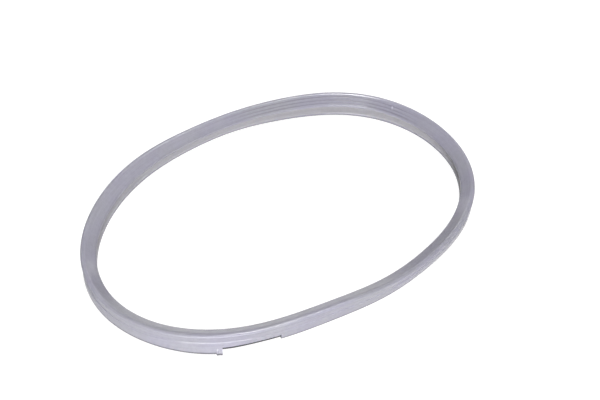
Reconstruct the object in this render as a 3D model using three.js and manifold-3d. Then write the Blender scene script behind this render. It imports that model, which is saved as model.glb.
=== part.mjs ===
// Lid sealing ring of a stovetop pressure cooker: one silicone moulding.
// Its section is a C that opens inward: an outer wall with a bead at its top and a plain skirt at
// its foot, a narrow flat land on the bead, an upper lip that slopes down from that, and a lower lip.
// It is moulded round, and here it lies relaxed as an oval loop with its wall leaning gently
// in and out. Millimetres, +Z up: the foot lies on z = 0, the loop's long axis is X, and the
// origin is the middle of the ring's box, at its base.

import * as THREE from 'three';
import { mergeVertices } from 'three/addons/utils/BufferGeometryUtils.js';
import Module from 'manifold-3d';

// ---- Driving dimensions ----

const MOULDED_DIAMETER = 231; // outside of the skirt, round as moulded
const RING_HEIGHT = 13.1;
const LIP_REACH = 8.7; // from the outer wall's foot to the lips' tips
const WALL = 2.4; // thickness of the outer wall behind the channel
const SKIRT_HEIGHT = 6.2; // plain band round the wall's foot
const SKIRT_STEP = 0.55; // how far the wall above the skirt stands back
const BEAD_RADIUS = 1.2; // bead along the top of the wall
const BEAD_OVERHANG = 0.4; // how far the bead stands out past the skirt
const LAND = 1.3; // width of the flat land along the top of the bead
const UPPER_LIP_TIP = 8.2; // height of the upper lip's tip, on its top face
const UPPER_LIP_THICKNESS = 2.0;
const LOWER_LIP_THICKNESS = 1.8; // at its tip
const LOWER_LIP_ROOT = 4.2; // at the channel's end
const LIP_ROUND = 0.95; // how far the upper lip's tip is rounded back
const EDGE_ROUND = 0.6; // the same, for the lower lip's tip and the channel's corners

const WINDOW_START = 0.6208; // place along the loop, as a part of one turn
const WINDOW_LENGTH = 34; // pressure relief window, a notch in the foot of the wall
const WINDOW_HEIGHT = 3.6;
const WINDOW_DEPTH = 1.5;
const FLARE = 2.9; // how far the cut end of the skirt springs outward
const FLARE_LENGTH = 40; // how far along the skirt the flare dies out
const FLARE_RETURN = 15; // the same, above the window
const CUT_TOLERANCE = 0.01; // how near the cut a point counts as on the flared end

// Waves added round the loop: [number of waves, height, turn of a crest in degrees].
// The loop's waves are parts of its mean radius, and the lean's waves are degrees.
const LOOP_WAVES = [
  [2, 0.1975, 0], [3, 0.0167, -37], [4, 0.0197, 2.7], [5, 0.005, -24], [6, 0.0015, 28.5], [7, 0.0033, -25],
];
const LEAN_WAVES = [[1, 4.8, -81.5], [2, 1.4, 52.5], [3, 4.8, 41], [4, 3.4, 34.5]];

const STATIONS = 112; // sections round the ring
const BEAD_SIDES = 6; // flats along the bead's round
const LENGTH_STEPS = 2000; // steps used to measure along the loop
const CUTTER_SEGMENTS = 12;
const CUT_MARGIN = 2; // how far a cutter stands past what it cuts
const SILICONE_COLOUR = 0xaaa8b6;

// ---- Small helpers ----

function waveSum(waves, angle) {
  let sum = 0;
  for (const [count, height, turn] of waves) {
    sum += height * Math.cos(count * (angle - THREE.MathUtils.degToRad(turn)));
  }
  return sum;
}

function point(x, y) {
  return new THREE.Vector2(x, y);
}

// ---- Section: x is the distance in from the outer wall's foot, y is the height ----

// A corner with a radius becomes a quadratic curve's start, middle and end.
function roundCorner(before, corner, after, radius) {
  if (radius === 0) {
    return [corner];
  }
  const start = before.clone().sub(corner).setLength(radius).add(corner);
  const end = after.clone().sub(corner).setLength(radius).add(corner);
  return new THREE.QuadraticBezierCurve(start, corner, end).getPoints(2);
}

// The bead's round, from where it leaves the wall to where the flat land begins.
function beadArc() {
  const centre = point(BEAD_RADIUS - BEAD_OVERHANG, RING_HEIGHT - BEAD_RADIUS);
  const start = -Math.acos((SKIRT_STEP - centre.x) / BEAD_RADIUS);
  const arc = new THREE.EllipseCurve(centre.x, centre.y, BEAD_RADIUS, BEAD_RADIUS, start, Math.PI / 2, true);
  return arc.getPoints(BEAD_SIDES);
}

function sectionOutline() {
  const bead = beadArc();
  const landEnd = bead.at(-1).clone().add(point(LAND, 0));
  const tip = point(LIP_REACH, UPPER_LIP_TIP);
  const slope = (landEnd.y - tip.y) / (tip.x - landEnd.x);
  const channelTop = tip.y + slope * (LIP_REACH - WALL) - UPPER_LIP_THICKNESS;
  const corners = [
    [point(0, 0), 0],
    [point(0, SKIRT_HEIGHT), 0],
    [point(SKIRT_STEP, SKIRT_HEIGHT + SKIRT_STEP), 0],
    ...bead.map((p) => [p, 0]),
    [landEnd, 0],
    [tip, LIP_ROUND],
    [point(LIP_REACH, UPPER_LIP_TIP - UPPER_LIP_THICKNESS), LIP_ROUND],
    [point(WALL, channelTop), EDGE_ROUND],
    [point(WALL, LOWER_LIP_ROOT), EDGE_ROUND],
    [point(LIP_REACH, LOWER_LIP_THICKNESS), EDGE_ROUND],
    [point(LIP_REACH, 0), 0],
  ];
  return corners.flatMap(([corner, radius], i) => {
    const before = corners.at(i - 1)[0];
    const after = corners[(i + 1) % corners.length][0];
    return roundCorner(before, corner, after, radius);
  });
}

// ---- Round moulding, with the relief window cut in it ----

const wasm = await Module();
wasm.setup();

function toSolid(geometry) {
  const bare = new THREE.BufferGeometry();
  bare.setAttribute('position', geometry.getAttribute('position'));
  bare.setIndex(geometry.getIndex());
  const merged = mergeVertices(bare);
  return new wasm.Manifold(new wasm.Mesh({
    numProp: 3,
    vertProperties: Float32Array.from(merged.getAttribute('position').array),
    triVerts: Uint32Array.from(merged.getIndex().array),
  }));
}

function toGeometry(solid) {
  const mesh = solid.getMesh();
  const geometry = new THREE.BufferGeometry();
  geometry.setAttribute('position', new THREE.BufferAttribute(mesh.vertProperties, mesh.numProp));
  geometry.setIndex(new THREE.BufferAttribute(mesh.triVerts, 1));
  return geometry;
}

function roundMoulding() {
  const outline = sectionOutline();
  const closed = [...outline, outline[0]];
  const profile = closed.map((p) => point(MOULDED_DIAMETER / 2 - p.x, p.y));
  return new THREE.LatheGeometry(profile, STATIONS).rotateX(Math.PI / 2);
}

function windowCutter() {
  const outer = MOULDED_DIAMETER / 2;
  const start = 2 * Math.PI * WINDOW_START;
  const end = start + WINDOW_LENGTH / outer;
  const sector = new THREE.Shape();
  sector.absarc(0, 0, outer + CUT_MARGIN, start, end, false);
  sector.absarc(0, 0, outer - WINDOW_DEPTH, end, start, true);
  const depth = WINDOW_HEIGHT + CUT_MARGIN;
  const options = { depth, bevelEnabled: false, curveSegments: CUTTER_SEGMENTS };
  return new THREE.ExtrudeGeometry(sector, options).translate(0, 0, -CUT_MARGIN);
}

// ---- The ring as it lies: the round moulding is bent to the free loop ----

class FreeLoop extends THREE.Curve {
  constructor(meanRadius) {
    super();
    this.meanRadius = meanRadius;
    this.arcLengthDivisions = LENGTH_STEPS;
  }

  getPoint(t, target = new THREE.Vector3()) {
    const angle = 2 * Math.PI * t;
    const radius = this.meanRadius * (1 + waveSum(LOOP_WAVES, angle));
    return target.set(radius * Math.cos(angle), radius * Math.sin(angle), 0);
  }
}

// The loop has the same length as the round moulding's outer edge.
function freeLoop() {
  const unit = new FreeLoop(1).getLength();
  return new FreeLoop(Math.PI * MOULDED_DIAMETER / unit);
}

// How far outward the cut end of the skirt springs, at a place along the ring and a height.
// It leans out from the skirt's top. Past the cut only the rim above the window follows it.
function flareAt(place, height) {
  const past = (place - WINDOW_START) * Math.PI * MOULDED_DIAMETER;
  const cutAway = past > CUT_TOLERANCE;
  const reach = cutAway ? FLARE_RETURN : FLARE_LENGTH;
  const level = cutAway ? Math.max(height, WINDOW_HEIGHT) : height;
  const low = Math.max(0, 1 - level / SKIRT_HEIGHT);
  return FLARE * Math.exp(-((past / reach) ** 2)) * low;
}

function bendPoint(loop, p) {
  const turn = Math.atan2(p.y, p.x) / (2 * Math.PI);
  const place = THREE.MathUtils.euclideanModulo(turn, 1);
  const middle = loop.getPointAt(place);
  const along = loop.getTangentAt(place);
  const lean = Math.tan(THREE.MathUtils.degToRad(waveSum(LEAN_WAVES, Math.atan2(middle.y, middle.x))));
  const inset = MOULDED_DIAMETER / 2 - Math.hypot(p.x, p.y);
  const flare = inset < WALL ? flareAt(place, p.z) : 0;
  const inward = inset - lean * p.z - flare;
  return p.set(middle.x - along.y * inward, middle.y + along.x * inward, p.z);
}

function bend(geometry) {
  const loop = freeLoop();
  const position = geometry.getAttribute('position');
  const p = new THREE.Vector3();
  for (let i = 0; i < position.count; i++) {
    bendPoint(loop, p.fromBufferAttribute(position, i));
    position.setXYZ(i, p.x, p.y, p.z);
  }
  geometry.computeBoundingBox();
  const centre = geometry.boundingBox.getCenter(new THREE.Vector3());
  return geometry.translate(-centre.x, -centre.y, 0);
}

function sealingRing() {
  const moulding = toSolid(roundMoulding()).subtract(toSolid(windowCutter()));
  const geometry = bend(toGeometry(moulding));
  geometry.computeVertexNormals();
  const silicone = new THREE.MeshStandardMaterial({ color: SILICONE_COLOUR, roughness: 0.3, metalness: 0 });
  const ring = new THREE.Mesh(geometry, silicone);
  ring.name = 'sealing_ring';
  return ring;
}

const part = new THREE.Group();
part.add(sealingRing());

export default part;
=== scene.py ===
"""Looks of a pressure cooker's lid sealing ring: one milky silicone moulding on a pale floor.

The ring is a C-shaped section that opens inward, swept round the oval loop that the relaxed
ring lies in. The relief window, the flared end of the skirt beside it and the moulding's gate
mark change the section where they are. Lengths are metres; MM turns millimetres into metres.
"""

import math

import bpy
import numpy as np
from mathutils import Euler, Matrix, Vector


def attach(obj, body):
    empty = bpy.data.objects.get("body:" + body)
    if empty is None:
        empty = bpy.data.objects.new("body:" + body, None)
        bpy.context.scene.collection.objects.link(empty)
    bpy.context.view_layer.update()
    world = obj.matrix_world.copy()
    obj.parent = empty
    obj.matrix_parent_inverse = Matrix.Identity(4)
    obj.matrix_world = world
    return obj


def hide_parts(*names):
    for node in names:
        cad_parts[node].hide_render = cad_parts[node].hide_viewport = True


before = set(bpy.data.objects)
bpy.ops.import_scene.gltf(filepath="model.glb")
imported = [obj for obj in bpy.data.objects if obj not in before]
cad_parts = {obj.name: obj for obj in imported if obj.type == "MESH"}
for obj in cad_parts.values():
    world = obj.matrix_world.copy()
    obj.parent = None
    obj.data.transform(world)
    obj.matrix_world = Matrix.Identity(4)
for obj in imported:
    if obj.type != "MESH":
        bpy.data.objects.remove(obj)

MM = 0.001

# ---- The moulding, as in the CAD source ----

NODE = "sealing_ring"
MOULDED_DIAMETER = 231 * MM  # outside of the skirt, round as moulded
GIRTH = math.pi * MOULDED_DIAMETER
RING_HEIGHT = 13.1 * MM
LIP_REACH = 8.7 * MM  # from the outer wall's foot to the lips' tips
WALL = 2.4 * MM  # thickness of the outer wall behind the channel
SKIRT_HEIGHT = 6.2 * MM  # plain band round the wall's foot
SKIRT_STEP = 0.55 * MM  # how far the wall above the skirt stands back
BEAD_RADIUS = 1.2 * MM  # bead along the top of the wall
BEAD_OVERHANG = 0.4 * MM  # how far the bead stands out past the skirt
LAND = 1.3 * MM  # width of the flat land along the top of the bead
UPPER_LIP_TIP = 8.2 * MM  # height of the upper lip's tip, on its top face
UPPER_LIP_THICKNESS = 2.0 * MM
LOWER_LIP_THICKNESS = 1.8 * MM  # at its tip
LOWER_LIP_ROOT = 4.2 * MM  # at the channel's end
WINDOW_START = 0.6208  # place along the loop, as a part of one turn
WINDOW_LENGTH = 34 * MM  # pressure relief window, a notch in the foot of the wall
WINDOW_END = WINDOW_START + WINDOW_LENGTH / GIRTH
WINDOW_HEIGHT = 3.6 * MM
WINDOW_DEPTH = 1.5 * MM
FLARE = 2.9 * MM  # how far the cut end of the skirt springs outward
FLARE_LENGTH = 40 * MM  # how far along the skirt the flare dies out
FLARE_RETURN = 15 * MM  # the same, above the window

# The sloping top face runs from the land's end to the upper lip's tip.
FACE_START = BEAD_RADIUS - BEAD_OVERHANG + LAND
FACE_SLOPE = (RING_HEIGHT - UPPER_LIP_TIP) / (LIP_REACH - FACE_START)

# Waves round the loop: number of waves, height, turn of a crest in degrees.
# The loop's waves are parts of its mean radius, and the lean's waves are degrees.
LOOP_WAVES = ((2, 0.1975, 0), (3, 0.0167, -37), (4, 0.0197, 2.7), (5, 0.005, -24), (6, 0.0015, 28.5),
              (7, 0.0033, -25))
LEAN_WAVES = ((1, 4.8, -81.5), (2, 1.4, 52.5), (3, 4.8, 41), (4, 3.4, 34.5))

# ---- Details finer than the CAD model ----

FOOT_ROUND = 0.3 * MM  # how far the edges that the ring stands on are rounded back
STEP_ROUND = 0.4 * MM  # the same, for the step above the skirt
LIP_ROUND = 0.95 * MM  # for the upper lip's tip
LOWER_LIP_ROUND = 0.6 * MM
CHANNEL_ROUND = 0.9 * MM  # for the corners at the channel's end
LAND_ROUND = 0.8 * MM  # where the land turns down into the sloping face
CUT_ROUND = 0.12 * MM  # for the window's cut edges
RIM = ((0.15, 0.14), (0.35, 0.2), (0.65, 0.2), (1, 0.12), (1.4, 0.04), (1.8, 0))
RIM_UNIT = MM  # RIM holds each point's rise above the window and how far the wall rolls out there

TOP_LINES = ((0.28, 0.04), (0.57, 0.04), (0.83, 0.03))  # place across the sloping face, and drift
DRIFT_TURNS = 3  # times that the lines drift to and fro round the loop
TOP_LINE_WIDTH = 0.75 * MM
TOP_LINE_DEPTH = 0.28 * MM
TOP_LINE_ROUND = TOP_LINE_WIDTH / 5
TOP_LINE_PLACES = (0.02, 0.05, 0.2, 0.24)  # where round the loop the lines begin, are full, and end

PAD_LENGTH = 3.4 * MM  # a thin pad on the cut end of the skirt
PAD_HEIGHT = 2.9 * MM
PAD_RISE = 1.0 * MM  # how far its foot stands out
PAD_CROWN = 0.6  # power of its profile: the lower, the blunter
DIMPLE_HEIGHT = 1.45 * MM  # height of the middle of the pad's ring-shaped dimple
DIMPLE_RADIUS = 0.85 * MM
DIMPLE_WIDTH = 0.4 * MM
DIMPLE_DEPTH = 0.35 * MM

GATE_PLACE = 0.059  # the moulding's gate mark, a low spot on the sloping face
GATE_ACROSS = 5.1 * MM  # from the outer wall's foot to its middle
GATE_RADIUS = 1.2 * MM
GATE_HALF_WIDTH = 0.983 * MM  # its radius across the sloping face, seen from above
GATE_RISE = 0.8 * MM

# ---- Painted shade, painted highlight and painted light: parts of the colour ----

FOOT_PAINTED_SHADE = 0.22  # painted contact shadow along the outer foot that the ring stands on
INNER_FOOT_PAINTED_SHADE = 0.55  # painted contact shadow along the inner foot
FOOT_DARK = 0.3 * MM  # below this height the foot's painted shadow is full
FOOT_CLEAR = 1.5 * MM  # above this height there is none
RECESS_PAINTED_SHADOW = 0.12  # painted shadow inside the window's recess
RECESS_EDGE = CUT_ROUND / 2  # how far in the recess's painted shadow begins
LINE_PAINTED_SHADE = 0.28  # how much darker the fine lines are: painted shade in their grooves
GATE_PAINTED_HIGHLIGHT = 0.35  # how much paler the gate mark's middle is: a painted highlight
LIP_SKIN = 0.7  # part of the upper lip's thickness that the channel's painted light leaves out

# ---- Silicone: colours are linear, and noise patterns are (features per metre, detail) ----

COOL = (0.395, 0.385, 0.465)
NEUTRAL = (0.405, 0.4, 0.455)
CHANNEL_PAINTED_LIGHT = (0.545, 0.535, 0.57)  # painted light: paler where light comes through the wall
CLOUDS = (38, 3)
MOTTLE = (420, 4)
STREAKS = (1500, 3)
DUST = (1900, 1)
SMUDGES = (95, 4)
PORES = (2600, 2)
MIDDLE = (0.35, 0.65)  # parts of a pattern's range that are spread over the whole result
MOST = (0.3, 0.7)
SPECKS = (0.2, 0.3)
MOTTLE_SHADE = (0.97, 1.03)
STREAK_SHADE = (0.955, 1.045)
DUST_SHADE = (0.8, 1)
ROUGHNESS = (0.13, 0.23)
GLOSS = (0.45, 0.1)  # seen square on, and at the grazing angles below
GRAZING = (0.65, 0.9)
REFRACTION = 1.41
BUMP_STRENGTH = 0.08
PORE_DEPTH = 0.02 * MM
STREAK_DEPTH = 0.04 * MM
MILKINESS = 0.7  # weight of the light scattered under the surface
SCATTER = 1.2 * MM
SCATTER_TINT = (1, 1, 1.1)

# ---- Fineness ----

STATIONS = 540
PAD_STATIONS = 22
GATE_STATIONS = 13
ARC_STEPS = 4
BEAD_STEPS = 14
FOOT_STEPS = 8
SPAN = 0.9 * MM  # longest straight piece of the outline
LOOP_SAMPLES = 40000
CUT_GAP = 0.02 * MM  # between a cut and the stations before and after it
STRAND_DRIFT = 3 * MM  # how far the streaks' pattern wanders across the section in a turn
SHARP_ANGLE = math.radians(42)

# ---- Camera, floor and lights ----

CAMERA_AZIMUTH = math.radians(-37.94)
CAMERA_ELEVATION = math.radians(44.9)
CAMERA_DISTANCE = 582.5 * MM
CAMERA_AIM = Vector((15.4, 3.3, 0)) * MM
CAMERA_ROLL = math.radians(4.95)
CAMERA_CLIP = 10 * MM
LENS = 53.2
FLOOR_SIZE = 6.0
FLOOR_GREY = (0.18, 0.18, 0.18, 1)
FLOOR_ROUGHNESS = 0.6
FLOOR_GLOW = 0.92
WHITE = (1, 1, 1, 1)
LIGHT_DISTANCE = 1.3
WORLD_LIGHT = 0.06


# ---- Section: x is the distance in from the outer wall's foot, y is the height ----


def bead_arc():
    """The bead's round, from where it leaves the wall to where the flat land begins."""
    centre = Vector((BEAD_RADIUS - BEAD_OVERHANG, RING_HEIGHT - BEAD_RADIUS))
    start = 2 * math.pi - math.acos((SKIRT_STEP - centre.x) / BEAD_RADIUS)
    end = math.pi / 2
    angles = [start + (end - start) * i / BEAD_STEPS for i in range(BEAD_STEPS + 1)]
    return [centre + Vector((math.cos(a), math.sin(a))) * BEAD_RADIUS for a in angles]


def top_line(place, start, tip, depth):
    """A fine moulded line along the sloping face: its two edges and its floor."""
    along = tip - start
    half = TOP_LINE_WIDTH / 2 / along.length
    edges = [start + along * (place - half), start + along * (place + half)]
    floor = start + along * place - Vector((0, depth))
    return [(point, TOP_LINE_ROUND) for point in (edges[0], floor, edges[1])]


def skirt_corners(window):
    """Corners up the outside of the skirt, or through the window's recess and over its rim."""
    foot = Vector((WINDOW_DEPTH, WINDOW_HEIGHT)) if window else Vector((0, 0))
    rim = Vector((0, WINDOW_HEIGHT))
    corners = [(foot, CUT_ROUND if window else FOOT_ROUND)]
    corners += [(foot.lerp(rim, i / (FOOT_STEPS + 2)), 0) for i in range(2, FOOT_STEPS + 2)]
    corners += [(rim, CUT_ROUND)]
    corners += [(rim + Vector((-bulge if window else 0, rise)) * RIM_UNIT, 0) for rise, bulge in RIM]
    return corners + [
        (Vector((0, SKIRT_HEIGHT)), STEP_ROUND),
        (Vector((SKIRT_STEP, SKIRT_HEIGHT + SKIRT_STEP)), STEP_ROUND),
    ]


def section_corners(drift, window, lined):
    """Corners of the section with the radius that rounds each of them."""
    bead = bead_arc()
    top = bead[-1] + Vector((LAND, 0))
    tip = Vector((LIP_REACH, UPPER_LIP_TIP))
    root = tip.y + FACE_SLOPE * (LIP_REACH - WALL) - UPPER_LIP_THICKNESS
    corners = skirt_corners(window) + [(point, 0) for point in bead] + [(top, LAND_ROUND)]
    for place, shift in TOP_LINES:
        corners += top_line(place + shift * drift, top, tip, TOP_LINE_DEPTH if lined else 0)
    return corners + [
        (tip, LIP_ROUND),
        (Vector((LIP_REACH, UPPER_LIP_TIP - UPPER_LIP_THICKNESS)), LIP_ROUND),
        (Vector((WALL, root)), CHANNEL_ROUND),
        (Vector((WALL, LOWER_LIP_ROOT)), CHANNEL_ROUND),
        (Vector((LIP_REACH, LOWER_LIP_THICKNESS)), LOWER_LIP_ROUND),
        (Vector((LIP_REACH, 0)), FOOT_ROUND),
        (Vector((WINDOW_DEPTH, 0)), CUT_ROUND),
    ]


def round_corner(before, corner, after, radius):
    """Points of a corner rounded by a quadratic curve that starts and ends a radius away."""
    if radius == 0:
        return [corner]
    start = corner + (before - corner).normalized() * radius
    end = corner + (after - corner).normalized() * radius
    steps = [i / ARC_STEPS for i in range(ARC_STEPS + 1)]
    return [start * (1 - t) ** 2 + corner * 2 * t * (1 - t) + end * t ** 2 for t in steps]


def section(drift=0, window=False, lined=False, pieces=None):
    """The rounded outline, its long runs divided, as an array; and how many pieces each run has."""
    corners = section_corners(drift, window, lined)
    count = len(corners)
    rounded = []
    for i, (corner, radius) in enumerate(corners):
        rounded += round_corner(corners[i - 1][0], corner, corners[(i + 1) % count][0], radius)
    following = rounded[1:] + rounded[:1]
    if pieces is None:
        pieces = [max(1, math.ceil((b - a).length / SPAN)) for a, b in zip(rounded, following)]
    outline = [a.lerp(b, k / n) for a, b, n in zip(rounded, following, pieces) for k in range(n)]
    return np.array([tuple(p) for p in outline]), pieces


# ---- What changes round the loop: a place is a part of one turn ----


def in_window(place):
    return (place > WINDOW_START) & (place < WINDOW_END)


def line_drift(place):
    """How far the fine lines have drifted across the sloping face, from -1 to 1."""
    return np.cos(DRIFT_TURNS * 2 * math.pi * place)


def line_strength(place):
    """How much of the fine lines there is: 1 along their full stretch, 0 where there are none."""
    return np.interp(place, TOP_LINE_PLACES, (0, 1, 1, 0))


def stations():
    """Places of the sections: even steps, with close pairs and finer steps where the shape needs them."""
    gap = CUT_GAP / GIRTH
    pad = WINDOW_START - PAD_LENGTH / GIRTH
    cuts = [WINDOW_START - gap, WINDOW_START + gap, WINDOW_END - gap, WINDOW_END + gap]
    on_pad = np.linspace(pad - 2 * gap, WINDOW_START - 3 * gap, PAD_STATIONS)
    on_gate = GATE_PLACE + np.linspace(-1, 1, GATE_STATIONS) * GATE_RADIUS / GIRTH
    return np.unique(np.concatenate([np.arange(STATIONS) / STATIONS, cuts, on_pad, on_gate]))


def outlines(place):
    """The section at each place, with the fine lines and the window where they are."""
    plain, pieces = section()
    lined = section(lined=True, pieces=pieces)[0]
    drifted = section(lined=True, drift=1, pieces=pieces)[0]
    cut = section(window=True, pieces=pieces)[0]
    drift = line_drift(place)[:, None, None]
    strength = line_strength(place)[:, None, None]
    outline = plain + strength * (lined - plain + drift * (drifted - lined))
    return outline + in_window(place)[:, None, None] * (cut - plain)


def outward(place, height):
    """How far outward the skirt's cut end stands: it flares, and carries a thin dimpled pad."""
    past = (place - WINDOW_START) * GIRTH
    reach = np.where(past < 0, FLARE_LENGTH, FLARE_RETURN)
    flare = FLARE * np.exp(-(past / reach) ** 2)
    level = np.where(past < 0, height, np.maximum(height, WINDOW_HEIGHT))
    low = np.clip(1 - level / SKIRT_HEIGHT, 0, 1)
    on_pad = (past < 0) & (past > -PAD_LENGTH)
    off = np.hypot(past + PAD_LENGTH / 2, height - DIMPLE_HEIGHT)
    dimple = DIMPLE_DEPTH * np.exp(-((off - DIMPLE_RADIUS) / DIMPLE_WIDTH) ** 2)
    pad = PAD_RISE * np.clip(1 - height / PAD_HEIGHT, 0, 1) ** PAD_CROWN - dimple
    return flare * low + pad * on_pad


# ---- Marks: each is 1 where it is full and 0 away from it ----


def gate_mark(place, inset, height):
    along = (place - GATE_PLACE) * GIRTH / GATE_RADIUS
    across = (inset - GATE_ACROSS) / GATE_HALF_WIDTH
    return (height > UPPER_LIP_TIP) * np.clip(1 - along ** 2 - across ** 2, 0, 1)


def line_shade_mark(place, inset, height):
    """Where painted shade darkens the fine lines on the sloping face."""
    run = (LIP_REACH - FACE_START) * math.hypot(1, FACE_SLOPE)
    across = (inset - FACE_START) / (LIP_REACH - FACE_START)
    on_face = (height > UPPER_LIP_TIP) & (inset > FACE_START)
    half = TOP_LINE_WIDTH / 2
    off = [(across - middle - shift * line_drift(place)) * run / half for middle, shift in TOP_LINES]
    return on_face * line_strength(place) * sum(np.exp(-o ** 2) for o in off)


def channel_light_mark(inset, height):
    """The inside of the C, between the lips, where the colour is paler as painted light coming through
    the wall.
    """
    ceiling = UPPER_LIP_TIP + FACE_SLOPE * (LIP_REACH - inset) - LIP_SKIN * UPPER_LIP_THICKNESS
    inside = (inset > WALL - CUT_ROUND) & (height < ceiling) & (height > FOOT_CLEAR)
    return inside.astype(float)


def painted_shading_at(place, inset, height, gate):
    """Painted shading: how much of the colour each point keeps, less for painted shade at the foot, in
    the window's recess and in the fine lines, more for a painted highlight on the gate mark.
    """
    # painted contact shadow along the foot, fading out upward
    up = np.clip((height - FOOT_DARK) / (FOOT_CLEAR - FOOT_DARK), 0, 1)
    foot = np.where(inset < WALL, FOOT_PAINTED_SHADE, INNER_FOOT_PAINTED_SHADE)
    shade = foot + (1 - foot) * up * (2 - up)
    # painted highlight on the gate mark
    shade *= 1 + GATE_PAINTED_HIGHLIGHT * gate
    # painted shade in the fine lines' grooves
    shade *= 1 - LINE_PAINTED_SHADE * line_shade_mark(place, inset, height)
    # painted shadow in the window's recess
    recess = in_window(place) & (inset > RECESS_EDGE) & (inset < WALL) & (height <= WINDOW_HEIGHT)
    return np.where(recess, RECESS_PAINTED_SHADOW, shade)


def strand_at(place, inset, height):
    """Coordinates for streaks that run along the ring and wander slowly across its section."""
    turn = 2 * math.pi * place
    wander = (inset + STRAND_DRIFT * np.cos(turn), height + STRAND_DRIFT * np.sin(turn))
    return np.stack([*wander, np.zeros_like(inset)], axis=-1)


# ---- Sweep round the loop ----


def wave_sum(waves, angle):
    """Sum of the waves at each angle round the loop."""
    return sum(height * np.cos(count * (angle - math.radians(turn))) for count, height, turn in waves)


def free_loop():
    """Places along the loop, with the point, the tangent and the angle at each."""
    angle = np.linspace(0, 2 * math.pi, LOOP_SAMPLES + 1)
    radius = 1 + wave_sum(LOOP_WAVES, angle)
    points = np.stack([radius * np.cos(angle), radius * np.sin(angle)], axis=-1)
    steps = np.linalg.norm(np.diff(points, axis=0), axis=1)
    length = np.concatenate([[0], np.cumsum(steps)])
    points *= GIRTH / length[-1]
    tangents = np.gradient(points, axis=0)
    tangents[0] = tangents[-1] = points[1] - points[-2]
    tangents /= np.linalg.norm(tangents, axis=1)[:, None]
    return length / length[-1], points, tangents, angle


def lay_on_loop(place, inset, height):
    """The sections' points on the loop, leaning as the ring does, with its box centred."""
    places, points, tangents, angles = free_loop()
    middle = np.stack([np.interp(place, places, points[:, i]) for i in (0, 1)], axis=-1)
    along = np.stack([np.interp(place, places, tangents[:, i]) for i in (0, 1)], axis=-1)
    across = np.stack([-along[:, 1], along[:, 0]], axis=-1)
    lean = np.tan(np.radians(wave_sum(LEAN_WAVES, np.interp(place, places, angles))))
    inward = inset - lean[:, None] * height - outward(place[:, None], height) * (inset < WALL)
    flat = middle[:, None] + across[:, None] * inward[..., None]
    corners = flat.reshape(-1, 2)
    flat -= (corners.min(axis=0) + corners.max(axis=0)) / 2
    return np.concatenate([flat, height[..., None]], axis=-1)


def sweep_faces(rounds, count):
    """Quads between each section and the next one, and from the last section to the first."""
    faces = []
    for s in range(rounds):
        here = s * count
        ahead = (s + 1) % rounds * count
        for k in range(count):
            after = (k + 1) % count
            faces.append((here + k, ahead + k, ahead + after, here + after))
    return faces


def new_object(name, vertices, faces):
    mesh = bpy.data.meshes.new(name)
    mesh.from_pydata(vertices, [], faces)
    mesh.update()
    obj = bpy.data.objects.new(name, mesh)
    bpy.context.scene.collection.objects.link(obj)
    return obj


def add_attribute(mesh, name, kind, field, values):
    """A value at each of the mesh's points, for its material to read."""
    mesh.attributes.new(name, kind, "POINT").data.foreach_set(field, values.ravel())


def sealing_ring():
    place = stations()
    outline = outlines(place)
    around = place[:, None]
    inset = outline[..., 0]
    gate = gate_mark(around, inset, outline[..., 1])
    height = outline[..., 1] + GATE_RISE * gate
    vertices = lay_on_loop(place, inset, height)
    ring = new_object("silicone_ring", vertices.reshape(-1, 3).tolist(), sweep_faces(*inset.shape))
    add_attribute(ring.data, "strand", "FLOAT_VECTOR", "vector", strand_at(around, inset, height))
    # painted shade and painted highlight, read by the colour and the gloss
    add_attribute(ring.data, "painted_shading", "FLOAT", "value", painted_shading_at(around, inset, height, gate))
    # where the channel's painted light goes
    add_attribute(ring.data, "channel", "FLOAT", "value", channel_light_mark(inset, height))
    ring.data.shade_smooth()
    ring.data.set_sharp_from_angle(angle=SHARP_ANGLE)
    ring.data.materials.append(silicone())
    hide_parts(NODE)
    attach(ring, "root")


# ---- Materials ----


def new_material(name):
    """A material, its node tree and its shader."""
    material = bpy.data.materials.new(name)
    material.use_nodes = True
    return material, material.node_tree, material.node_tree.nodes["Principled BSDF"]


def attribute(tree, name, output):
    """A value that the mesh holds at each of its points."""
    node = tree.nodes.new("ShaderNodeAttribute")
    node.attribute_name = name
    return node.outputs[output]


def noise(tree, source, pattern):
    """A noise pattern on a coordinate socket."""
    node = tree.nodes.new("ShaderNodeTexNoise")
    for name, value in zip(("Scale", "Detail"), pattern):
        node.inputs[name].default_value = value
    tree.links.new(source, node.inputs["Vector"])
    return node.outputs["Fac"]


def spread(tree, source, span, result):
    """The source, mapped smoothly from one range to another."""
    node = tree.nodes.new("ShaderNodeMapRange")
    node.interpolation_type = "SMOOTHSTEP"
    for name, value in zip(("From Min", "From Max", "To Min", "To Max"), (*span, *result)):
        node.inputs[name].default_value = value
    tree.links.new(source, node.inputs["Value"])
    return node.outputs["Result"]


def multiply(tree, first, second):
    node = tree.nodes.new("ShaderNodeMath")
    node.operation = "MULTIPLY"
    tree.links.new(first, node.inputs[0])
    tree.links.new(second, node.inputs[1])
    return node.outputs[0]


def shaded(tree, colour, shade):
    """A colour with its brightness scaled."""
    node = tree.nodes.new("ShaderNodeVectorMath")
    node.operation = "SCALE"
    tree.links.new(colour, node.inputs[0])
    tree.links.new(shade, node.inputs["Scale"])
    return node.outputs[0]


def blend(tree, factor, first, second):
    """A mix of two colours, each one a socket or plain numbers."""
    node = tree.nodes.new("ShaderNodeMix")
    node.data_type = "RGBA"
    tree.links.new(factor, node.inputs["Factor"])
    for socket, colour in zip((node.inputs[6], node.inputs[7]), (first, second)):
        if isinstance(colour, tuple):
            socket.default_value = (*colour, 1)
        else:
            tree.links.new(colour, socket)
    return node.outputs[2]


def bump(tree, height, depth, under=None):
    """The normal of a fine relief, laid over another one if there is one."""
    node = tree.nodes.new("ShaderNodeBump")
    node.inputs["Strength"].default_value = BUMP_STRENGTH
    node.inputs["Distance"].default_value = depth
    tree.links.new(height, node.inputs["Height"])
    if under:
        tree.links.new(under, node.inputs["Normal"])
    return node.outputs[0]


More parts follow.
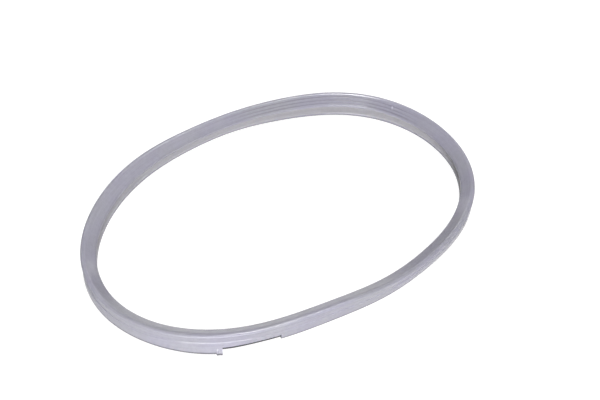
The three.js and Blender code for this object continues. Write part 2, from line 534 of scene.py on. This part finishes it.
def silicone():
    """Milky silicone: cloudy, faintly streaked round the loop, with painted shade along the edges it
    stands on, in the window's recess and in the fine lines, a painted highlight on the gate mark and
    painted light in the channel.
    """
    material, tree, shader = new_material("silicone")
    space = tree.nodes.new("ShaderNodeTexCoord").outputs["Object"]
    facing = tree.nodes.new("ShaderNodeLayerWeight").outputs["Facing"]
    # painted shade and highlight held by the mesh; they also dim the gloss
    painted_shading = attribute(tree, "painted_shading", "Fac")
    streaks = noise(tree, attribute(tree, "strand", "Vector"), STREAKS)
    body = blend(tree, spread(tree, noise(tree, space, CLOUDS), MIDDLE, (0, 1)), COOL, NEUTRAL)
    # painted light in the channel
    body = blend(tree, attribute(tree, "channel", "Fac"), body, CHANNEL_PAINTED_LIGHT)
    shade = multiply(tree, painted_shading, spread(tree, noise(tree, space, MOTTLE), MOST, MOTTLE_SHADE))
    shade = multiply(tree, shade, spread(tree, streaks, MOST, STREAK_SHADE))
    shade = multiply(tree, shade, spread(tree, noise(tree, space, DUST), SPECKS, DUST_SHADE))
    pores = bump(tree, noise(tree, space, PORES), PORE_DEPTH)
    surface = {
        "Base Color": shaded(tree, body, shade),
        "Roughness": spread(tree, noise(tree, space, SMUDGES), MIDDLE, ROUGHNESS),
        "Normal": bump(tree, streaks, STREAK_DEPTH, under=pores),
        "Specular IOR Level": multiply(tree, painted_shading, spread(tree, facing, GRAZING, GLOSS)),
    }
    for name, source in surface.items():
        tree.links.new(source, shader.inputs[name])
    shader.inputs["IOR"].default_value = REFRACTION
    shader.inputs["Subsurface Weight"].default_value = MILKINESS
    shader.inputs["Subsurface Radius"].default_value = SCATTER_TINT
    shader.inputs["Subsurface Scale"].default_value = SCATTER
    return material


def floor_material():
    material, _, shader = new_material("pale_floor")
    shader.inputs["Base Color"].default_value = FLOOR_GREY
    shader.inputs["Roughness"].default_value = FLOOR_ROUGHNESS
    shader.inputs["Emission Color"].default_value = WHITE
    shader.inputs["Emission Strength"].default_value = FLOOR_GLOW
    return material


# ---- Stage ----


def floor():
    half = FLOOR_SIZE / 2
    corners = [(-half, -half, 0), (half, -half, 0), (half, half, 0), (-half, half, 0)]
    plane = new_object("floor", corners, [(0, 1, 2, 3)])
    plane.data.materials.append(floor_material())
    plane.visible_diffuse = False


def place_facing(obj, azimuth, elevation, distance, aim):
    """Put a camera or lamp at that azimuth and elevation as seen from the aim, and turn it to the aim."""
    flat = math.cos(elevation)
    back = Vector((math.sin(azimuth) * flat, -math.cos(azimuth) * flat, math.sin(elevation)))
    obj.location = aim + back * distance
    obj.rotation_mode = "QUATERNION"
    obj.rotation_quaternion = (-back).to_track_quat("-Z", "Y")
    bpy.context.scene.collection.objects.link(obj)


def camera():
    data = bpy.data.cameras.new("camera")
    data.lens = LENS
    data.clip_start = CAMERA_CLIP
    cam = bpy.data.objects.new("camera", data)
    place_facing(cam, CAMERA_AZIMUTH, CAMERA_ELEVATION, CAMERA_DISTANCE, CAMERA_AIM)
    cam.rotation_quaternion = cam.rotation_quaternion @ Euler((0, 0, CAMERA_ROLL)).to_quaternion()
    bpy.context.scene.camera = cam


def area_light(name, azimuth, elevation, size, power):
    """A soft lamp. Its azimuth is in degrees from the camera's, and its size is in metres."""
    data = bpy.data.lights.new(name, "AREA")
    data.shape = "RECTANGLE"
    data.size, data.size_y = size
    data.energy = power
    lamp = bpy.data.objects.new(name, data)
    turn = CAMERA_AZIMUTH + math.radians(azimuth)
    place_facing(lamp, turn, math.radians(elevation), LIGHT_DISTANCE, Vector())
    return lamp


def lights():
    area_light("key", azimuth=7, elevation=24, size=(0.8, 0.5), power=22.5)
    area_light("rim", azimuth=180, elevation=20, size=(1.2, 0.5), power=4)
    fill = area_light("fill", azimuth=180, elevation=40, size=(0.8, 0.8), power=10)
    fill.visible_glossy = False
    strip = area_light("strip", azimuth=164, elevation=74, size=(0.15, 0.5), power=18)
    strip.visible_diffuse = False


def studio():
    """A faint even light all round, and plain colours."""
    world = bpy.data.worlds.new("studio")
    world.use_nodes = True
    background = world.node_tree.nodes["Background"]
    background.inputs["Color"].default_value = WHITE
    background.inputs["Strength"].default_value = WORLD_LIGHT
    bpy.context.scene.world = world
    bpy.context.scene.view_settings.view_transform = "Standard"


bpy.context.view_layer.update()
sealing_ring()
floor()
camera()
lights()
studio()
